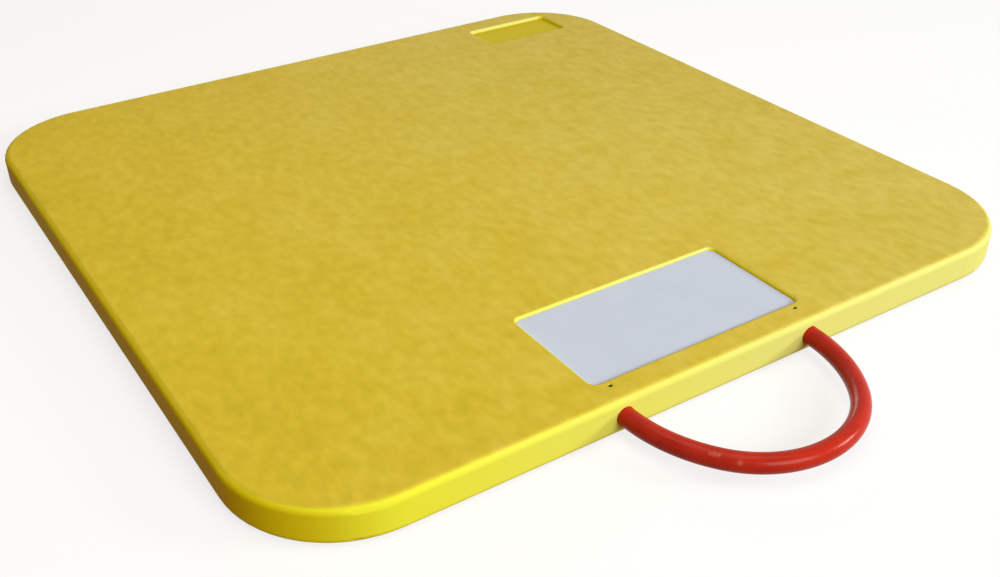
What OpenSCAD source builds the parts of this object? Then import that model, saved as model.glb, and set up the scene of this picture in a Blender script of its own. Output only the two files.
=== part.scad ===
// Crane outrigger pad: a thick plastic plate that spreads an outrigger's load on the ground,
// with a looped carrying handle in its front edge. Millimetres, +Z up.
// The origin is the centre of the plate's bottom face, and the handle is towards -Y.

/* [Plate] */
// Side of the square plate
plate_side = 609.6; // [450:0.1:1200]
// Thickness of the plate
plate_t = 25.4; // [22:0.1:75]
// Radius of the plate's corners, seen from above
corner_r = 76.2; // [25:0.1:150]
// Radius of the rounded top and bottom edges
edge_r = 4.8; // [0.8:0.1:5.5]

/* [Pockets] */
// Width of the label pocket, along the front edge
label_pocket_w = 170; // [60:0.1:250]
// Length of the label pocket, front to back
label_pocket_l = 85.5; // [30:0.1:200]
// Depth of the label pocket
label_pocket_d = 3.2; // [3:0.1:5]
// Distance from the pins' axes back to the label pocket
label_setback = 5.5; // [5:0.1:100]
// Width of the empty tag pocket, along the back edge
tag_pocket_w = 90.5; // [30:0.1:150]
// Length of the tag pocket, front to back
tag_pocket_l = 43; // [20:0.1:150]
// Depth of the tag pocket
tag_pocket_d = 3.2; // [3:0.1:10]
// Distance from the plate's right face to the tag pocket
tag_side_inset = 39.3; // [25:0.1:120]
// Distance from the plate's back face to the tag pocket
tag_back_inset = 26.5; // [20:0.1:120]
// Radius of the pockets' corners, seen from above
pocket_r = 5; // [1:0.1:9]
// Radius of the rounded lip around each pocket
lip_r = 2; // [0.3:0.1:2.8]

/* [Label plate] */
// Thickness of the label plate
label_t = 1; // [0.5:0.1:2]
// Clearance between the label plate and the pocket's wall
label_gap = 0.3; // [0.1:0.05:1]

/* [Handle] */
// Diameter of the handle's rod
handle_d = 12.7; // [8:0.1:14]
// Distance between the rod's two ends
handle_span = 152.4; // [90:0.1:220]
// Reach of the loop from the plate's front face, to the rod's centre line
handle_reach = 88; // [50:0.1:160]
// Length of each end inside the plate
handle_bury = 22; // [14:0.1:60]
// Clearance around the rod in its bore
handle_gap = 0.15; // [0.05:0.05:0.3]
// Sideways place of the handle, its pins and the label pocket, from the plate's middle
front_offset = -4; // [-40:0.5:40]

/* [Pins] */
// Diameter of the slotted spring pins that hold the handle
pin_d = 3.2; // [2:0.1:5]
// Wall of the spring pins
pin_wall = 0.7; // [0.4:0.05:0.9]
// Width of the slot along each pin
pin_slot = 0.7; // [0.3:0.05:1.2]
// Chamfer at both ends of each pin
pin_chamfer = 0.4; // [0.1:0.05:0.6]
// Distance from the rod's end to the pin's axis
pin_end = 6.4; // [4:0.1:9]
// Depth of the pin's top below the plate's top face
pin_sink = 0.8; // [0.2:0.1:2]
// Plate left under the pin
pin_floor = 4.4; // [2:0.1:5]
// Clearance around each pin in its hole
pin_gap = 0.05; // [0.02:0.01:0.1]

/* [Hidden] */
$fn = 96;

// How far a cutter runs past the face that it opens
over = 1;
// How far each bend of the rod runs past the line where it meets the next one
joint_lap = 0.002;

// The handle's loop is a half oval of three arcs: a wide bend at each side and a tighter one in
// front. They meet in tangent where the line through their centres falls 3 for every 4 across.
handle_half = handle_span / 2;
side_bend_r = 2 * handle_reach - handle_half;
front_bend_r = (3 * handle_half - handle_reach) / 2;
joint_angle = atan(3 / 4);
handle_z = plate_t / 2;

front_y = -plate_side / 2;
pin_y = front_y + handle_bury - pin_end;
pin_len = plate_t - pin_sink - pin_floor;

label_place = [front_offset, pin_y + label_setback + label_pocket_l / 2, plate_t - label_pocket_d];
tag_place = [
    plate_side / 2 - tag_side_inset - tag_pocket_w / 2,
    plate_side / 2 - tag_back_inset - tag_pocket_l / 2,
    plate_t - tag_pocket_d
];

// The two ends of the handle, left and right
module at_each_end() {
    for (side = [-1, 1])
        translate([front_offset + side * handle_half, 0, 0])
            children();
}

// Sweeps a border section around a rounded rectangle and fills the middle. The section's x runs
// outwards from the centre of a corner, and its y is the height.
module swept_block(w, l, corner, height) {
    dx = w / 2 - corner;
    dy = l / 2 - corner;
    translate([-dx, -dy, 0])
        cube([2 * dx, 2 * dy, height]);
    for (run = [[0, dx, dy], [90, dy, dx], [180, dx, dy], [270, dy, dx]])
        rotate(run[0])
            translate([run[1], run[2], 0]) {
                rotate([90, 0, 0])
                    linear_extrude(2 * run[2])
                        children();
                rotate_extrude(angle = 90)
                    children();
            }
}

// Border of the plate: a bull-nosed edge with a flat between two round-overs
module edge_section() {
    square([corner_r - edge_r, plate_t]);
    translate([0, edge_r])
        square([corner_r, plate_t - 2 * edge_r]);
    for (height = [edge_r, plate_t - edge_r])
        translate([corner_r - edge_r, height])
            circle(edge_r);
}

// Border of a pocket's cutter: a straight wall that flares out over a rounded lip
module lip_section(depth) {
    difference() {
        square([pocket_r + lip_r, depth + over]);
        translate([pocket_r, -over])
            square([lip_r + over, depth - lip_r + over]);
        translate([pocket_r + lip_r, depth - lip_r])
            circle(lip_r);
    }
}

// Cutter of a pocket, standing on the pocket's floor
module pocket(w, l, depth) {
    swept_block(w, l, pocket_r, depth + over)
        lip_section(depth);
}

// Rectangle with round corners
module rounded_rect(w, l, r) {
    square([w - 2 * r, l], center = true);
    square([w, l - 2 * r], center = true);
    for (x = [-1, 1], y = [-1, 1])
        translate([x * (w / 2 - r), y * (l / 2 - r)])
            circle(r);
}

// Square plate with two shallow pockets, two blind bores for the handle and two blind pin holes
module pad_plate() {
    color([0.83, 0.73, 0.22])
        difference() {
            swept_block(plate_side, plate_side, corner_r, plate_t)
                edge_section();
            translate(label_place)
                pocket(label_pocket_w, label_pocket_l, label_pocket_d);
            translate(tag_place)
                pocket(tag_pocket_w, tag_pocket_l, tag_pocket_d);
            at_each_end() {
                translate([0, front_y - over, handle_z])
                    rotate([-90, 0, 0])
                        cylinder(d = handle_d + 2 * handle_gap, h = handle_bury + over);
                translate([0, pin_y, pin_floor])
                    cylinder(d = pin_d + 2 * pin_gap, h = plate_t - pin_floor + over);
            }
        }
}

// Thin plate that lies on the floor of the label pocket
module label_plate() {
    color([0.80, 0.80, 0.87])
        translate(label_place)
            linear_extrude(label_t)
                rounded_rect(
                    label_pocket_w - 2 * label_gap,
                    label_pocket_l - 2 * label_gap,
                    pocket_r - label_gap
                );
}

// Part of a round rod's ring about the origin, over a range of angles
module ring(radius, from, angle) {
    rotate(from)
        rotate_extrude(angle = angle)
            translate([radius, 0])
                circle(d = handle_d);
}

// Everything to one side of the line where two arcs meet, past their lap: 1 is above, -1 is below
module past_joint(side) {
    reach = side_bend_r + handle_d;
    rotate(-joint_angle)
        translate([0, side > 0 ? joint_lap : -reach - joint_lap, -handle_d])
            cube([reach, reach, 2 * handle_d]);
}

// Right side of the loop: a straight end in the plate and the wide bend in front of it
module handle_side() {
    translate([handle_half, 0, 0])
        rotate([-90, 0, 0])
            cylinder(d = handle_d, h = handle_bury);
    translate([handle_half - side_bend_r, 0, 0])
        difference() {
            ring(side_bend_r, -90, 90);
            past_joint(-1);
        }
}

// Front of the loop, between the two wide bends
module handle_front() {
    translate([0, front_bend_r - handle_reach, 0])
        difference() {
            ring(front_bend_r, 180, 180);
            for (flip = [0, 1])
                mirror([flip, 0, 0])
                    past_joint(1);
        }
}

// Rod bent to a loop, with two straight ends in the plate that are drilled for the pins
module carry_handle() {
    color([0.70, 0.16, 0.11])
        difference() {
            translate([front_offset, front_y, handle_z]) {
                handle_front();
                for (flip = [0, 1])
                    mirror([flip, 0, 0])
                        handle_side();
            }
            at_each_end()
                translate([0, pin_y, handle_z - handle_d / 2 - over])
                    cylinder(d = pin_d + 2 * pin_gap, h = handle_d + 2 * over);
        }
}

// Slotted tube with chamfered ends
module spring_pin() {
    bore_r = pin_d / 2 - pin_wall;
    difference() {
        rotate_extrude()
            polygon([
                [bore_r, 0],
                [pin_d / 2 - pin_chamfer, 0],
                [pin_d / 2, pin_chamfer],
                [pin_d / 2, pin_len - pin_chamfer],
                [pin_d / 2 - pin_chamfer, pin_len],
                [bore_r, pin_len]
            ]);
        translate([0, -pin_slot / 2, -over])
            cube([pin_d, pin_slot, pin_len + 2 * over]);
    }
}

// The two pins, each standing on the floor of its hole
module handle_pins() {
    color([0.35, 0.34, 0.33])
        at_each_end()
            translate([0, pin_y, pin_floor])
                spring_pin();
}

pad_plate();
label_plate();
carry_handle();
handle_pins();
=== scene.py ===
# Crane outrigger pad: finishes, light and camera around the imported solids.
# Metres, +Z up, handle towards -Y.
from math import cos, radians, sin

import bpy
from mathutils import Matrix, Vector


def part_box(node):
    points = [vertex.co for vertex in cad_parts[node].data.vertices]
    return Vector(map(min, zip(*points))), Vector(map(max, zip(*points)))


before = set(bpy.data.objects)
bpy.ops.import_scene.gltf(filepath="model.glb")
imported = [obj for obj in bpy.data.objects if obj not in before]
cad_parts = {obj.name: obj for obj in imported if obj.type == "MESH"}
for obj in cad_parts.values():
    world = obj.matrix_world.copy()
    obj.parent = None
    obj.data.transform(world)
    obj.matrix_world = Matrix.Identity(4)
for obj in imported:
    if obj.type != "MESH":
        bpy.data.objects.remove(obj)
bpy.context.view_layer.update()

MM = 0.001

# Camera, as measured from the plate's outline, pockets and pins
VIEW_AZIMUTH = radians(-32.967)
VIEW_ELEVATION = radians(32.016)
VIEW_ROLL = radians(-0.482)
VIEW_DISTANCE = 832.72 * MM
VIEW_TARGET = Vector((-53.08, -127.71, 0)) * MM
FOCAL_PIXELS = 1163.15
FRAME_PIXELS = 1000
SENSOR_WIDTH = 36
CLIP_START = 10 * MM

# Colours, in linear light
SHEET_GOLD = (0.660, 0.497, 0.033, 1)
# The sheet's pale colour serves both random pale tone and a painted sheen towards the right
SHEET_PALE_AND_SHEEN = (0.605, 0.490, 0.107, 1)
ROUTED_YELLOW = (0.775, 0.745, 0.022, 1)
# Painted sheen on the routed face, towards the right
ROUTED_PAINTED_SHEEN = (0.715, 0.685, 0.195, 1)
# Painted shade on the routed face where it looks to the left
ROUTED_PAINTED_SHADE = (0.80, 0.65, 0.006, 1)
POCKET_YELLOW = (0.60, 0.48, 0.018, 1)
LABEL_WHITE = (0.55, 0.61, 0.785, 1)
LABEL_SHADE = (0.53, 0.59, 0.755, 1)
HANDLE_RED = (0.48, 0.021, 0.006, 1)
HANDLE_DEEP = (0.42, 0.016, 0.004, 1)
HANDLE_SCUFF = (0.58, 0.12, 0.09, 1)
PIN_STEEL = (0.10, 0.095, 0.08, 1)
PIN_OIL = (0.05, 0.045, 0.03, 1)
FLOOR_BEIGE = (0.33, 0.14, 0.02, 1)
ROOM_BEIGE = (1, 0.50, 0.10, 1)
CEILING_WARM = (1, 0.90, 0.72, 1)
DAYLIGHT = (0.90, 1, 0.97, 1)
WHITE = (1, 1, 1, 1)

# Noise patterns: scale, in cells per metre, and detail
ZONES = (17, 2.5)
PATCHES = (50, 2)
MOTTLE = (125, 1.5)
GRAIN = (420, 2)
LABEL_CLOUD = (30, 3)
LABEL_SMEAR = (160, 3)
HANDLE_CLOUD = (60, 3)
HANDLE_SMEAR = (220, 3)
HANDLE_PEEL = (600, 2)
PIN_CLOUD = (900, 3)

# Spans of a noise over which a colour or a roughness changes
CLOUD_SPAN = (0.35, 0.70)
LABEL_CLOUD_SPAN = (0.40, 0.75)
SMEAR_SPAN = (0.30, 0.70)
PATCH_SPAN = (0.35, 0.65)

# Pattern of the sheet: pebbles, and the stretch of all but the largest and the finest marks
SHEET_STRETCH = (1.0, 0.62, 1.0)
PEBBLE_SCALE = 160
PEBBLE_SMOOTHNESS = 0.6
PEBBLE_SPAN = (0.60, 0.10)

# Paleness of the sheet, random tone with a painted sheen that grows along X: weights of zones, patches,
# mottle and place along X
PALENESS_AND_SHEEN_WEIGHTS = (0.30, 0.35, 0.25, 0.85)
PALENESS_AND_SHEEN_SPAN = (0.137, 0.837)

# Brightness of the sheet: its base, and weights of zones, patches, mottle and pebbles
SHADE_BASE = 0.695
SHADE_WEIGHTS = (0.14, 0.18, 0.28, 0.02)

# Relief of the sheet: weights of pebbles and grain
RELIEF_WEIGHTS = (1.0, 0.25)

# Where the plate's faces change, by how upright the normal is, and where painted shade turns the routed
# face golden, by how far it looks to the left
FLAT_SPAN = (0.94, 0.998)
EDGE_SPAN = (0.75, 0.998)
LEFT_SHADE_SPAN = (-0.10, -0.90)

# Depths over which the top turns to a pocket's floor, and the run along X over which a painted sheen makes
# the routed face paler
POCKET_DEPTHS = (1.0 * MM, 2.0 * MM)
ROUTED_SHEEN_RUN = (-320 * MM, 120 * MM)

# Gloss: roughness, alone or from end to end of a noise, and strength of the reflection
SHEET_ROUGHNESS = (0.58, 0.68)
ROUTED_ROUGHNESS = 0.55
PAD_SPECULAR = 0.02
LABEL_ROUGHNESS = (0.38, 0.48)
LABEL_SPECULAR = 0.18
HANDLE_ROUGHNESS = (0.20, 0.26)
HANDLE_SPECULAR = 0.12
PIN_ROUGHNESS = (0.35, 0.55)

# Relief: strength and height
SHEET_RELIEF = (0.30, 0.3 * MM)
PEEL_RELIEF = (0.12, 0.2 * MM)

# Scuffs on the handle's loop: middle and width, and how much of the coating's colour they cover
HANDLE_SCUFFS = (
    (Vector((-66.7, -362.9, 18.2)) * MM, 2.0 * MM),
    (Vector((-65.1, -364.6, 18.1)) * MM, 2.4 * MM),
    (Vector((-63.4, -366.4, 18.0)) * MM, 2.0 * MM),
    (Vector((-56.7, -376.6, 16.3)) * MM, 2.4 * MM),
)
SCUFF_COVER = (0.0, 0.8)

# Floor: half its side, its place just under the pad, and its white glow, which grows with the distance
FLOOR_HALF = 4.0
FLOOR_LEVEL = -0.2 * MM
GLOW_DISTANCES = (0.6, 2.2)
GLOW_SHARES = (0.75, 1.0)

# Strength of the even light from the room
ROOM_FILL = 0.11

# Sockets of a Mix node that mixes colours, which share their names with those for other kinds of data
MIX_SHARE, MIX_FIRST, MIX_SECOND, MIX_RESULT = 0, 6, 7, 2


class Graph:
    """One node material or world while it is built: add() makes a node and fills its sockets."""

    def __init__(self, tree):
        self.tree = tree
        tree.nodes.clear()

    def add(self, kind, sockets=None, **settings):
        node = self.tree.nodes.new("ShaderNode" + kind)
        for name, value in settings.items():
            setattr(node, name, value)
        for name, value in (sockets or {}).items():
            self.put(node.inputs[name], value)
        return node

    def put(self, socket, value):
        if isinstance(value, bpy.types.NodeSocket):
            self.tree.links.new(value, socket)
        else:
            socket.default_value = value

    def math(self, operation, a, b=0.0):
        return self.add("Math", {0: a, 1: b}, operation=operation).outputs[0]

    def total(self, start, values, weights):
        """Adds each value, times its weight, to the start."""
        for value, weight in zip(values, weights):
            sockets = {0: value, 1: weight, 2: start}
            start = self.add("Math", sockets, operation="MULTIPLY_ADD").outputs[0]
        return start

    def mix(self, share, first, second):
        sockets = {MIX_SHARE: share, MIX_FIRST: first, MIX_SECOND: second}
        return self.add("Mix", sockets, data_type="RGBA").outputs[MIX_RESULT]

    def rise(self, value, span, ends=(0.0, 1.0)):
        """Goes smoothly from the first end to the second while the value crosses the span."""
        sockets = {
            "Value": value,
            "From Min": span[0],
            "From Max": span[1],
            "To Min": ends[0],
            "To Max": ends[1],
        }
        return self.add("MapRange", sockets, interpolation_type="SMOOTHSTEP").outputs[0]

    def noise(self, place, pattern):
        scale, detail = pattern
        return self.add("TexNoise", {"Vector": place, "Scale": scale, "Detail": detail}).outputs["Fac"]

    def bump(self, height, relief):
        strength, distance = relief
        sockets = {"Strength": strength, "Distance": distance, "Height": height}
        return self.add("Bump", sockets).outputs[0]

    def surface(self, **sockets):
        names = {name.replace("_", " "): value for name, value in sockets.items()}
        shader = self.add("BsdfPrincipled", names)
        self.add("OutputMaterial", {"Surface": shader.outputs[0]})


def new_material(name):
    material = bpy.data.materials.new(name)
    material.use_nodes = True
    return material, Graph(material.node_tree)


def pad_plastic():
    """Pebbled yellow sheet on top and below, with smooth routed edges and pockets."""
    material, g = new_material("pad_plastic_finish")
    coordinates = g.add("TexCoord")
    place = coordinates.outputs["Object"]
    axes = g.add("SeparateXYZ", {0: place}).outputs
    facing = g.add("SeparateXYZ", {0: coordinates.outputs["Normal"]}).outputs
    upright = g.math("ABSOLUTE", facing["Z"])

    # Sheet, pocket floors and routed edges
    low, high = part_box("pad_plate")
    half = (high.z - low.z) / 2
    level = g.math("ABSOLUTE", g.math("SUBTRACT", axes["Z"], (low.z + high.z) / 2))
    flat = g.rise(upright, FLAT_SPAN)
    below_top = g.rise(level, [half - depth for depth in POCKET_DEPTHS])
    in_pocket = g.math("MULTIPLY", flat, below_top)
    sheet = g.math("SUBTRACT", flat, in_pocket)

    # Marks of the sheet, from the largest to the finest
    drawn = g.add("Mapping", {"Vector": place, "Scale": SHEET_STRETCH}).outputs[0]
    zones = g.noise(place, ZONES)
    patches = g.noise(drawn, PATCHES)
    mottle = g.noise(drawn, MOTTLE)
    grain = g.noise(place, GRAIN)
    pebble_field = {"Vector": drawn, "Scale": PEBBLE_SCALE, "Smoothness": PEBBLE_SMOOTHNESS}
    pebbles = g.add("TexVoronoi", pebble_field, feature="SMOOTH_F1").outputs["Distance"]
    tops = g.rise(pebbles, PEBBLE_SPAN)

    # Colour of the sheet: random pale tone, and a painted sheen that grows paler to the right
    paleness_and_sheen = g.total(0.0, (zones, patches, mottle, axes["X"]), PALENESS_AND_SHEEN_WEIGHTS)
    shade = g.total(SHADE_BASE, (zones, patches, mottle, tops), SHADE_WEIGHTS)
    sheet_colour = g.mix(g.rise(paleness_and_sheen, PALENESS_AND_SHEEN_SPAN), SHEET_GOLD, SHEET_PALE_AND_SHEEN)
    sheet_colour = g.add("HueSaturation", {"Color": sheet_colour, "Value": shade}).outputs[0]

    # Colour of the routed edge: a painted sheen makes it paler to the right, and painted shade makes it
    # more golden where it looks to the left
    routed_colour = g.mix(g.rise(axes["X"], ROUTED_SHEEN_RUN), ROUTED_YELLOW, ROUTED_PAINTED_SHEEN)
    routed_colour = g.mix(g.rise(facing["X"], LEFT_SHADE_SPAN), routed_colour, ROUTED_PAINTED_SHADE)
    colour = g.mix(g.rise(upright, EDGE_SPAN), routed_colour, sheet_colour)
    colour = g.mix(in_pocket, colour, POCKET_YELLOW)

    sheet_roughness = g.rise(patches, PATCH_SPAN, SHEET_ROUGHNESS)
    rougher = g.math("MULTIPLY", sheet, g.math("SUBTRACT", sheet_roughness, ROUTED_ROUGHNESS))
    roughness = g.math("ADD", rougher, ROUTED_ROUGHNESS)

    relief = g.math("MULTIPLY", g.total(0.0, (tops, grain), RELIEF_WEIGHTS), sheet)
    g.surface(
        Base_Color=colour,
        Roughness=roughness,
        Specular_IOR_Level=PAD_SPECULAR,
        Normal=g.bump(relief, SHEET_RELIEF),
    )
    return material


def label_face():
    """Satin lilac-white plate, bare apart from faint handling marks."""
    material, g = new_material("label_face_finish")
    place = g.add("TexCoord").outputs["Object"]
    cloud = g.rise(g.noise(place, LABEL_CLOUD), LABEL_CLOUD_SPAN)
    colour = g.mix(cloud, LABEL_WHITE, LABEL_SHADE)
    roughness = g.rise(g.noise(place, LABEL_SMEAR), SMEAR_SPAN, LABEL_ROUGHNESS)
    g.surface(Base_Color=colour, Roughness=roughness, Specular_IOR_Level=LABEL_SPECULAR)
    return material


def handle_coating():
    """Glossy red coating with a little orange peel and a few scuffs."""
    material, g = new_material("handle_coating_finish")
    place = g.add("TexCoord").outputs["Object"]
    cloud = g.rise(g.noise(place, HANDLE_CLOUD), CLOUD_SPAN)
    colour = g.mix(cloud, HANDLE_RED, HANDLE_DEEP)
    for spot, width in HANDLE_SCUFFS:
        away = g.add("VectorMath", {0: place, 1: spot}, operation="DISTANCE").outputs["Value"]
        colour = g.mix(g.rise(away, (width, 0.0), SCUFF_COVER), colour, HANDLE_SCUFF)
    roughness = g.rise(g.noise(place, HANDLE_SMEAR), SMEAR_SPAN, HANDLE_ROUGHNESS)
    g.surface(
        Base_Color=colour,
        Roughness=roughness,
        Specular_IOR_Level=HANDLE_SPECULAR,
        Normal=g.bump(g.noise(place, HANDLE_PEEL), PEEL_RELIEF),
    )
    return material


def pin_steel():
    """Dark oiled spring steel."""
    material, g = new_material("pin_steel_finish")
    place = g.add("TexCoord").outputs["Object"]
    cloud = g.noise(place, PIN_CLOUD)
    colour = g.mix(g.rise(cloud, CLOUD_SPAN), PIN_STEEL, PIN_OIL)
    roughness = g.rise(cloud, SMEAR_SPAN, PIN_ROUGHNESS)
    g.surface(Base_Color=colour, Metallic=1.0, Roughness=roughness)
    return material


def finish_nodes():
    finishes = {
        "pad_plate": pad_plastic(),
        "label_plate": label_face(),
        "carry_handle": handle_coating(),
        "handle_pins": pin_steel(),
    }
    for name, material in finishes.items():
        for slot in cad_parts[name].material_slots:
            slot.material = material


def seen_directly(g):
    """1 for rays from the eye, and for those that a reflection or a clear piece passes on."""
    path = g.add("LightPath").outputs
    seen = g.math("MAXIMUM", path["Is Camera Ray"], path["Is Glossy Ray"])
    return g.math("MAXIMUM", seen, path["Is Transmission Ray"])


def add_floor():
    """Pale floor that keeps the pad's shadow, and turns plain white away from it."""
    corners = [
        (-FLOOR_HALF, -FLOOR_HALF, FLOOR_LEVEL),
        (FLOOR_HALF, -FLOOR_HALF, FLOOR_LEVEL),
        (FLOOR_HALF, FLOOR_HALF, FLOOR_LEVEL),
        (-FLOOR_HALF, FLOOR_HALF, FLOOR_LEVEL),
    ]
    mesh = bpy.data.meshes.new("floor")
    mesh.from_pydata(corners, [], [(0, 1, 2, 3)])
    floor = bpy.data.objects.new("floor", mesh)
    bpy.context.scene.collection.objects.link(floor)
    material, g = new_material("floor_finish")
    seen = seen_directly(g)
    matte = g.add("BsdfDiffuse", {"Color": g.mix(seen, FLOOR_BEIGE, WHITE)})
    glow = g.add("Emission", {"Color": WHITE, "Strength": 1.0})
    place = g.add("TexCoord").outputs["Object"]
    away = g.add("VectorMath", {0: place}, operation="LENGTH").outputs["Value"]
    share = g.math("MULTIPLY", seen, g.rise(away, GLOW_DISTANCES, GLOW_SHARES))
    both = g.add("MixShader", {0: share, 1: matte.outputs[0], 2: glow.outputs[0]})
    g.add("OutputMaterial", {"Surface": both.outputs[0]})
    mesh.materials.append(material)


def add_world():
    """Even studio fill that shows as white."""
    world = bpy.data.worlds.new("studio")
    world.use_nodes = True
    g = Graph(world.node_tree)
    seen = seen_directly(g)
    strength = g.math("ADD", ROOM_FILL, g.math("MULTIPLY", seen, 1.0 - ROOM_FILL))
    sky = g.add("Background", {"Color": g.mix(seen, ROOM_BEIGE, WHITE), "Strength": strength})
    g.add("OutputWorld", {"Surface": sky.outputs[0]})
    bpy.context.scene.world = world


def direction(azimuth, elevation):
    """Unit vector from the pad. The azimuth runs from the handle's side to the right."""
    return Vector((
        sin(azimuth) * cos(elevation),
        -cos(azimuth) * cos(elevation),
        sin(elevation),
    ))


def add_lamp(name, azimuth, elevation, distance, width, height, watts, colour):
    """Soft lamp turned to the pad, with its angles in degrees."""
    place = distance * direction(radians(azimuth), radians(elevation))
    data = bpy.data.lights.new(name, "AREA")
    data.shape = "RECTANGLE"
    data.size = width
    data.size_y = height
    data.energy = watts
    data.color = colour[:3]
    lamp = bpy.data.objects.new(name, data)
    lamp.location = place
    lamp.rotation_euler = place.to_track_quat("Z", "Y").to_euler()
    bpy.context.scene.collection.objects.link(lamp)


def add_lamps():
    add_lamp(
        "key", azimuth=2, elevation=27, distance=3.6, width=2.2, height=1.6, watts=95, colour=DAYLIGHT
    )
    add_lamp(
        "window", azimuth=49, elevation=19, distance=3.0, width=0.8, height=0.6, watts=42, colour=DAYLIGHT
    )
    add_lamp(
        "ceiling", azimuth=0, elevation=83, distance=1.35, width=1, height=1, watts=8.2, colour=CEILING_WARM
    )
    add_lamp(
        "back", azimuth=160, elevation=20, distance=3.2, width=1.4, height=1, watts=20, colour=WHITE
    )


def add_camera():
    """Camera at the measured angle, with its picture plane turned by the measured roll."""
    back = direction(VIEW_AZIMUTH, VIEW_ELEVATION)
    right = Vector((0, 0, 1)).cross(back).normalized()
    up = back.cross(right)
    turned_right = cos(VIEW_ROLL) * right + sin(VIEW_ROLL) * up
    turned_up = cos(VIEW_ROLL) * up - sin(VIEW_ROLL) * right
    data = bpy.data.cameras.new("camera")
    data.sensor_fit = "HORIZONTAL"
    data.sensor_width = SENSOR_WIDTH
    data.lens = FOCAL_PIXELS * SENSOR_WIDTH / FRAME_PIXELS
    data.clip_start = CLIP_START
    camera = bpy.data.objects.new("camera", data)
    turn = Matrix((turned_right, turned_up, back)).transposed().to_4x4()
    camera.matrix_world = Matrix.Translation(VIEW_TARGET + back * VIEW_DISTANCE) @ turn
    bpy.context.scene.collection.objects.link(camera)
    bpy.context.scene.camera = camera


finish_nodes()
add_floor()
add_world()
add_lamps()
add_camera()
bpy.context.scene.view_settings.view_transform = "Standard"
